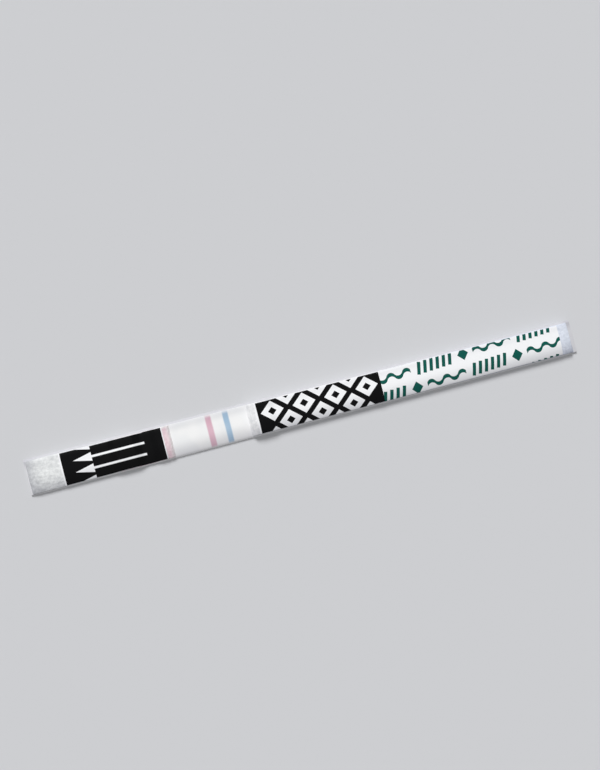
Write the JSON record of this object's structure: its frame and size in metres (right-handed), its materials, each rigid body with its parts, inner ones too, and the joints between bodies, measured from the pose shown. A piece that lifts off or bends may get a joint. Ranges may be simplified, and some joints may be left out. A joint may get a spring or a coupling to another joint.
{
  "type": "lateral flow test strip",
  "caption": "Bare lateral flow test strip: a white backing card that carries a sample pad, a pale pink pad, a membrane with a pink and a blue line, an absorbent pad and printed tapes.",
  "frame": {"origin": "centre of the underside of the backing card", "axes": "+X along the strip from the dip end to the handle end, +Y across the strip, +Z out of the printed side"},
  "size_m": [0.08, 0.005, 0.0014],
  "materials": {
    "card": "satin white sheet",
    "sample_fibre": "soft mottled fibre",
    "conjugate_fibre": "pale pink fibre",
    "membrane": "smooth matte",
    "pink_reagent": "matte, soft edged",
    "blue_reagent": "matte, soft edged",
    "absorbent_fibre": "dense mottled fibre",
    "white_film": "thin film with a low gloss",
    "black_ink": "printed film, low gloss",
    "green_ink": "printed film, low gloss"
  },
  "bodies": {
    "root": {"backing_card": "card", "sample_pad": "sample_fibre", "conjugate_pad": "conjugate_fibre", "membrane": "membrane", "test_line": "pink_reagent", "control_line": "blue_reagent", "absorbent_pad": "absorbent_fibre", "arrow_tape": "white_film", "arrow_ink": "black_ink", "motif_tape": "white_film", "motif_ink": "black_ink", "label_tape": "white_film", "label_ink": "green_ink"}
  },
  "joints": []
}
